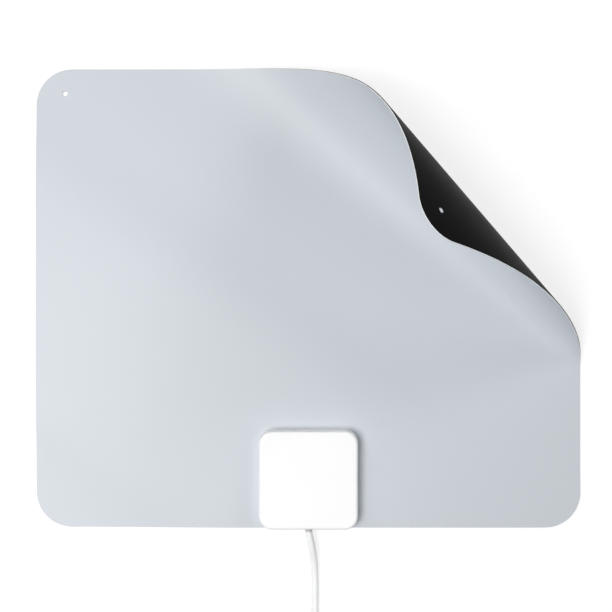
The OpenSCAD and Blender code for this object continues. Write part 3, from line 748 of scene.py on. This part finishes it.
def coil_line(middle, outer, d, passes):
    """Centreline of the coil. Each turn shifts to the next slot a little before the turn under it."""
    squeeze, flat, fade, sway = 0.12, 9, 22, 0.12
    first, later, shift = 110, 21, 70
    line = []
    for turn in range(passes + 1):
        for phi in range(0, 91 if turn == passes else 360, 5):
            here = np.array(COIL_SLOTS[turn], dtype=float)
            if turn < passes:
                ahead = np.array(COIL_SLOTS[turn + 1]) - here
                here += ahead * eased_step(phi, first + later * COIL_WAITS[turn], shift)
            x, z = (1.5 - here[0]) * d, (here[1] - 1) * d
            away = abs((phi - STRAP_AT) % 360 - 180)
            hug = 1 - squeeze * (1 - eased_step(away, flat, fade))
            a = math.radians(180 + phi)
            wave = sway * math.sin(3 * a + 1.7 * turn) * (1 - abs(math.cos(math.radians(phi) / 2)) ** 8)
            r = outer - 1.5 * d + x * hug + wave * (0 if turn in (0, passes) else 1)
            line.append((middle[0] + r * math.cos(a), middle[1] + r * math.sin(a), 1.5 * d + z * hug))
    return line


def cord_lines(cord, cord_z, exit_y):
    """Route points of the cord from the housing, its coil and its end in the boot, in millimetres."""
    d = cord.diameter / MM
    r = d / 2
    drop = (cord_z - r) / 5
    outer = cord.coil / MM
    route = [(0, -137, 0), (0.1, -142, 0), (0.9, -147, -0.3), (2.2, -153, -1.5), (3.2, -160, -3.4)]
    route += [(3.8, -168, -4.7)] + [(RUN_X, y, -5) for y in (-176, -190, -205, -218, COIL_Y)]
    route = [(0, exit_y, cord_z)] + [(x, y, cord_z + z * drop) for x, y, z in route]
    middle = (RUN_X + outer, COIL_Y)
    top, plug_z = 1.5 * d, 5.5
    heights = ((0, top), (14, top), (20, top * 0.6 + plug_z * 0.4), (25, plug_z), (32, plug_z), (39, plug_z))
    tail = [(middle[0] + x, middle[1] - outer, z) for x, z in heights]
    return eased(route, 8), coil_line(middle, outer, d, cord.passes), eased(tail, 8)


class ANTENNA_OT_cord(Operator):
    """Add the whole cord: its run from the housing, its coil and its tail into the plug's boot."""

    bl_idname = "antenna.cord"
    bl_label = "Cord"
    bl_options = {"REGISTER", "UNDO"}

    def execute(self, context):
        cord = context.scene.antenna_cord
        cord_z = cord_height()
        run, coil, tail = cord_lines(cord, cord_z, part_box("cord")[1].y / MM)
        line = run[:-1] + coil[:-1] + tail
        curve = bpy.data.curves.new("cord_jacket", "CURVE")
        curve.dimensions = "3D"
        spline = curve.splines.new("POLY")
        spline.points.add(len(line) - 1)
        spline.points.foreach_set("co", [c for p in line for c in (p[0] * MM, p[1] * MM, p[2] * MM, 1.0)])
        spline.use_smooth = True
        curve.bevel_depth, curve.bevel_resolution, curve.use_fill_caps = cord.diameter / 2, 5, True
        edge = (housing_middle()[1] - context.scene.antenna_housing.side / MM / 2) * MM
        n = Nodes("cord jacket")
        clouds = n.noise(90.0, 4.0, 0.6)
        unshaded = n.mix(n.span(clouds, 0.0, 1.0), tone(cord.jacket, 0.975), tone(cord.jacket, 1.015))
        along = n.add("ShaderNodeSeparateXYZ", Vector=n.place).outputs[1]
        # Painted shade: the jacket is darkened in a ring just outside the housing's wall, where the housing's
        # shadow falls on the cord
        painted_shade = n.span(along, 0.0, 1.0, edge - SHADE_RING_END, edge - SHADE_RING_START)
        base = n.mix(painted_shade, unshaded, tone(cord.jacket, 0.42))
        fine = n.bump(n.noise(1400.0, 2.0), 0.00003, 0.4)
        gloss = n.span(n.noise(220.0), 0.36, 0.48)
        skin = n.finish(Base_Color=base, Roughness=gloss, Specular_IOR_Level=0.45, Normal=fine)
        curve.materials.append(skin)
        obj = bpy.data.objects.new("cord_jacket", curve)
        context.scene.collection.objects.link(obj)
        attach(obj, "root")
        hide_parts("cord", "cord_coil", "cord_tail")
        return {"FINISHED"}


class ANTENNA_OT_tie(Operator):
    """Add the strap round the coil."""

    bl_idname = "antenna.tie"
    bl_label = "Coil tie"
    bl_options = {"REGISTER", "UNDO"}

    def execute(self, context):
        cord = context.scene.antenna_cord
        d, outer, at = cord.diameter / MM, cord.coil / MM, math.radians(STRAP_AT)
        a = np.array([math.cos(at), math.sin(at), 0])
        b = np.array([-math.sin(at), math.cos(at), 0])
        up = np.array([0, 0, 1])
        centre = np.array([RUN_X + outer, COIL_Y, 1.5 * d]) + a * (outer - 1.5 * d)
        half_x, half_z, round_r = 2 * d * STRAP_HUG, 1.5 * d * STRAP_HUG, 2.4
        half_w, bevel, thick = STRAP_W / 2, 0.2, 0.68
        edges = ((-half_w, 0.0), (-half_w, 0.5), (bevel - half_w, thick))
        rims = []
        for across, out in edges + tuple((-y, high) for y, high in edges[::-1]):
            ring = []
            for x, z in soft_rectangle(half_x, half_z, round_r, 8):
                swell = 1 + out / math.hypot(x, z)
                ring.append(centre + a * x * swell + up * z * swell + b * across)
            rims.append(ring)
        band = loft(rims, False, False, True)
        n = Nodes("coil strap")
        weave = n.add("ShaderNodeTexVoronoi", Vector=n.place, Scale=1500.0).outputs["Distance"]
        base = n.mix(n.span(weave, 0.0, 1.0, 0.1, 0.8), tone(cord.tie, 0.82), tone(cord.tie, 1.05))
        gloss, relief = n.span(weave, 0.7, 0.9), n.bump(weave, 0.0002, 0.6)
        cloth = n.finish(Base_Color=base, Roughness=gloss, Normal=relief)
        tab, tab_z, tab_y = [], 3.4, 3.6
        for z in np.linspace(-tab_z, tab_z, 7):
            low, high = half_x + 0.6, half_x + (0.8 if abs(z) > 0.99 * tab_z else 1.15)
            corners = ((low, -tab_y), (high, -tab_y), (high, tab_y), (low, tab_y))
            tab.append([centre + a * x + up * z + b * y for x, y in corners])
        add_mesh("coil_strap", *joined(band, loft(tab)), "root", "cord_white", [cloth], ["coil_tie"])
        return {"FINISHED"}


class ANTENNA_OT_boot(Operator):
    """Add the moulded boot between the cord and the plug."""

    bl_idname = "antenna.boot"
    bl_label = "Plug boot"
    bl_options = {"REGISTER", "UNDO"}

    def execute(self, context):
        cord = context.scene.antenna_cord
        low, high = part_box("connector_boot")
        axis = [v / MM for v in (low.x, (low.y + high.y) / 2, (low.z + high.z) / 2)]
        r = cord.diameter / MM / 2
        wide, long = (high.z - low.z) / MM / 2, (high.x - low.x) / MM
        neck, bore, socket_r = wide - 0.5, r + 0.03, 3.44
        cone, first, socket, cuff, gap, grips = 6, 7, 11, 1.5, 0.9, 3
        shape = [(socket, bore), (0, bore), (0, r + 0.7), (cone, neck)]
        step = (long - first - cuff) / grips
        for i in range(grips):
            x = first + i * step
            shape += [(x, neck), (x, wide), (x + step - gap, wide), (x + step - gap, neck)]
        shape += [(long - cuff, neck), (long - cuff, wide), (long, wide)]
        shape += [(long, socket_r), (socket, socket_r), (socket, bore)]
        skin = plastic("boot", cord.jacket, 0.5, 0.02, 120.0, 1800.0, 0.00002, 0.4)
        form = lathe(rounded(shape, 0.22, 3), axis, "X", 56, False, False)
        add_mesh("plug_boot", *form, "root", "cord_white", [skin], ["connector_boot"])
        return {"FINISHED"}


class ANTENNA_OT_nut(Operator):
    """Add the plug's hexagonal nut with its thread."""

    bl_idname = "antenna.nut"
    bl_label = "Plug nut"
    bl_options = {"REGISTER", "UNDO"}

    def execute(self, context):
        cord = context.scene.antenna_cord
        low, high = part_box("connector_nut")
        x0, long = low.x / MM, (high.x - low.x) / MM
        y, z = (low.y + high.y) / 2 / MM, (low.z + high.z) / 2 / MM
        flat = min(high.z - low.z, high.y - low.y) / MM / 2
        steps, bore, lip, hub, blunt, depth = 120, 4.4, 2.2, 3.45, 0.12, 0.34
        sixth, pitch = TAU / 6, cord.pitch / MM
        turned = 0 if high.y - low.y > high.z - low.z else sixth / 2

        def hexagon(a):
            """Distance to the hexagon's side, its corners a little rounded."""
            part = (a + turned + sixth / 2) % sixth - sixth / 2
            return min(flat / math.cos(sixth / 2 - abs(part)), flat / math.cos(sixth / 2) - blunt)

        rings = []

        def ring(x, radius):
            """One ring, its radius a number or a function of the angle."""
            out = []
            for k in range(steps):
                a = TAU * k / steps
                r = radius(a) if callable(radius) else radius
                out.append((x0 + x, y + r * math.cos(a), z + r * math.sin(a)))
            rings.append(out)

        ring(lip, hub)
        ring(0.15, hub)
        ring(0, hub + 0.15)
        ring(0, flat - blunt)
        ends = np.linspace(0.06, 1.0, 12)
        for x in ends:
            ring(x, lambda a, x=x: min(hexagon(a), flat + x))
        for x in (long * 0.35, long * 0.65):
            ring(x, hexagon)
        for x in ends[::-1]:
            ring(long - x, lambda a, x=x: min(hexagon(a), flat + x))
        ring(long, flat - blunt)
        ring(long, bore + 0.55)
        for x in np.arange(long - 0.25, lip + 0.35, -pitch / 6):

            def groove(a, x=x):
                """Radius of the thread at an angle."""
                t = (x / pitch + a / TAU) % 1
                return bore + depth * min(1, max(0, 1.5 - abs(t - 0.5) * 4) / 1.25)

            ring(x, groove)
        ring(lip, bore)
        plate = metal("plug plating", cord.metal, 0.24, (0.15, 1, 1), 1800.0, 0.00001, 0.06)
        verts, faces = loft(rings, False, False, True)
        add_mesh("plug_nut", verts, faces, "nut", "plug_metal", [plate], ["connector_nut"], None, 28)
        return {"FINISHED"}


class ANTENNA_OT_finishes(Operator):
    """Give each shown piece of the frame its procedural finish."""

    bl_idname = "antenna.finishes"
    bl_label = "Frame finishes"
    bl_options = {"REGISTER", "UNDO"}

    def execute(self, context):
        plate = context.scene.antenna_cord.metal
        n = Nodes("circuit board")
        cells = n.add("ShaderNodeTexBrick", Vector=n.place, Scale=220.0)
        cells.inputs["Mortar Size"].default_value = 0.06
        tracks = cells.outputs["Fac"]
        mask = n.mix(tracks, (0.02, 0.16, 0.07, 1), (0.05, 0.3, 0.13, 1))
        gloss, relief = n.span(n.noise(400.0), 0.25, 0.4), n.bump(tracks, 0.00004)
        board = n.finish(Base_Color=mask, Roughness=gloss, Normal=relief)
        n = Nodes("tinned braid")
        weave = n.add("ShaderNodeTexWave", Vector=n.place, Scale=700.0, Distortion=1.5, Detail=1.0)
        strands = weave.outputs["Fac"]
        base = n.mix(strands, (0.35, 0.34, 0.33, 1), (0.82, 0.81, 0.8, 1))
        gloss, relief = n.span(strands, 0.25, 0.45), n.bump(strands, 0.0002)
        braid = n.finish(Base_Color=base, Roughness=gloss, Metallic=1.0, Normal=relief)
        copper = metal("copper wire", (0.72, 0.33, 0.18), 0.25, (1, 0.1, 1), 2500.0)
        foam = plastic("dielectric", (0.86, 0.86, 0.83), 0.5, 0.03, 500.0, 3000.0)
        steel = metal("screw steel", (0.58, 0.58, 0.6), 0.3, (1, 1, 0.2), 1800.0)
        finishes = {
            "element_left": metal("foil", (0.8, 0.8, 0.81), 0.3, (0.1, 1, 1), 500.0),
            "circuit_board": board,
            "balun_core": plastic("ferrite", (0.045, 0.043, 0.042), 0.7, 0.25, 900.0, 3500.0, 0.00006, 0.3),
            "balun_windings": copper,
            "chip_components": plastic("chips", (0.08, 0.065, 0.05), 0.45, 0.35, 180.0, 2500.0),
            "contact_spring_left": metal("spring bronze", (0.74, 0.55, 0.27), 0.3, (0.2, 1, 1), 1500.0),
            "cover_screws": steel,
            "clamp_screws": steel,
            "cord_clamp": foam,
            "coax_dielectric": foam,
            "coax_braid": braid,
            "coax_conductor": copper,
            "connector_body": metal("plug body", plate, 0.26, (0.2, 1, 1), 1500.0),
            "connector_insulator": foam,
            "connector_pin": copper,
        }
        finishes["element_right"] = finishes["element_left"]
        finishes["contact_spring_right"] = finishes["contact_spring_left"]
        for node, material in finishes.items():
            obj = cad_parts[node]
            obj.data.materials.clear()
            obj.data.materials.append(material)
        return {"FINISHED"}


class ANTENNA_OT_stage(Operator):
    """Add the camera, the lamps, the world and the white floor."""

    bl_idname = "antenna.stage"
    bl_label = "Stage"
    bl_options = {"REGISTER", "UNDO"}

    def execute(self, context):
        scene, s = context.scene, context.scene.antenna_stage
        lens = bpy.data.cameras.new("camera")
        lens.lens, lens.sensor_width = s.lens, 36
        camera = bpy.data.objects.new("camera", lens)
        camera.location = (-0.00154, -0.0049, s.height)
        scene.collection.objects.link(camera)
        scene.camera = camera

        def lamp(name, place, size, watts):
            """A square area lamp aimed at the sheet's middle."""
            data = bpy.data.lights.new(name, "AREA")
            data.shape, data.size, data.energy = "SQUARE", size, watts
            obj = bpy.data.objects.new(name, data)
            obj.location = place
            obj.rotation_mode = "QUATERNION"
            obj.rotation_quaternion = (-Vector(place)).to_track_quat("-Z", "Y")
            scene.collection.objects.link(obj)

        lamp("panel", (-0.4, -0.18, 1.0), 0.5, s.panel)
        lamp("left lamp", (-0.72, 0.58, 0.6), 0.35, s.left)
        lamp("far lamp", (0.9, 0.7, 0.5), 0.4, s.far)
        lamp("right lamp", (0.9, -0.1, 0.7), 0.5, s.right)

        world = bpy.data.worlds.new("world")
        scene.world = world
        world.use_nodes = True
        tree = world.node_tree
        back = tree.nodes["Background"]
        back.inputs["Color"].default_value = (1, 1, 1, 1)
        level = tree.nodes.new("ShaderNodeMapRange")
        level.inputs["To Min"].default_value, level.inputs["To Max"].default_value = s.sky, 1.0
        tree.links.new(seen_rays(tree), level.inputs["Value"])
        tree.links.new(level.outputs[0], back.inputs["Strength"])

        mesh = bpy.data.meshes.new("floor")
        corners = [(x * FLOOR_SIZE, y * FLOOR_SIZE, FLOOR_Z) for x, y in QUADRANTS]
        mesh.from_pydata(corners, [], [(2, 3, 0, 1)])
        floor = bpy.data.objects.new("floor", mesh)
        scene.collection.objects.link(floor)
        n = Nodes("floor")
        lit = n.add("ShaderNodeBsdfDiffuse", Color=tone(s.floor, 0.8))
        dimmed = n.add("ShaderNodeBsdfDiffuse", Color=tone(s.floor, 0.3))
        away = n.add("ShaderNodeVectorMath", OPERATION="LENGTH")
        n.put(away.inputs[0], n.place)
        strength = n.span(away.outputs["Value"], *FLOOR_GLOW, *FLOOR_FADE)
        glow = n.add("ShaderNodeEmission", Color=tone(s.floor), Strength=strength)
        shown = n.add("ShaderNodeAddShader")
        n.put(shown.inputs[0], dimmed.outputs[0])
        n.put(shown.inputs[1], glow.outputs[0])
        mixed = n.add("ShaderNodeMixShader", Fac=seen_rays(n.tree))
        n.put(mixed.inputs[1], lit.outputs[0])
        n.put(mixed.inputs[2], shown.outputs[0])
        n.put(n.tree.nodes["Material Output"].inputs["Surface"], mixed.outputs[0])
        n.tree.nodes.remove(n.shader)
        mesh.materials.append(n.material)
        scene.view_settings.view_transform = "Standard"
        return {"FINISHED"}


class ANTENNA_PT_panel(Panel):
    """Lists the antenna's pieces and settings."""

    bl_idname = "ANTENNA_PT_panel"
    bl_label = "Flat sheet antenna"
    bl_space_type = "VIEW_3D"
    bl_region_type = "UI"
    bl_category = "Antenna"

    def draw(self, context):
        for key, group in GROUPS.items():
            box = self.layout.box()
            box.label(text=key.replace("_", " "))
            settings = getattr(context.scene, key)
            for name in group.__annotations__:
                box.prop(settings, name)
        for operator in OPERATORS:
            self.layout.operator(operator.bl_idname)


GROUPS = {
    "antenna_sheet": SheetSettings,
    "antenna_curl": CurlSettings,
    "antenna_housing": HousingSettings,
    "antenna_cord": CordSettings,
    "antenna_stage": StageSettings,
}
OPERATORS = (
    ANTENNA_OT_films,
    ANTENNA_OT_cover,
    ANTENNA_OT_rear,
    ANTENNA_OT_tie,
    ANTENNA_OT_boot,
    ANTENNA_OT_nut,
    ANTENNA_OT_cord,
    ANTENNA_OT_finishes,
    ANTENNA_OT_stage,
)


def register():
    for group in GROUPS.values():
        bpy.utils.register_class(group)
    for key, group in GROUPS.items():
        setattr(bpy.types.Scene, key, PointerProperty(type=group))
    for operator in OPERATORS:
        bpy.utils.register_class(operator)
    bpy.utils.register_class(ANTENNA_PT_panel)


def unregister():
    bpy.utils.unregister_class(ANTENNA_PT_panel)
    for operator in reversed(OPERATORS):
        bpy.utils.unregister_class(operator)
    for key in GROUPS:
        delattr(bpy.types.Scene, key)
    for group in reversed(list(GROUPS.values())):
        bpy.utils.unregister_class(group)


def main():
    register()
    bpy.ops.antenna.films()
    bpy.ops.antenna.cover()
    bpy.ops.antenna.rear()
    bpy.ops.antenna.tie()
    bpy.ops.antenna.boot()
    bpy.ops.antenna.nut()
    bpy.ops.antenna.cord()
    bpy.ops.antenna.finishes()
    bpy.ops.antenna.stage()


if __name__ == "__main__":
    main()
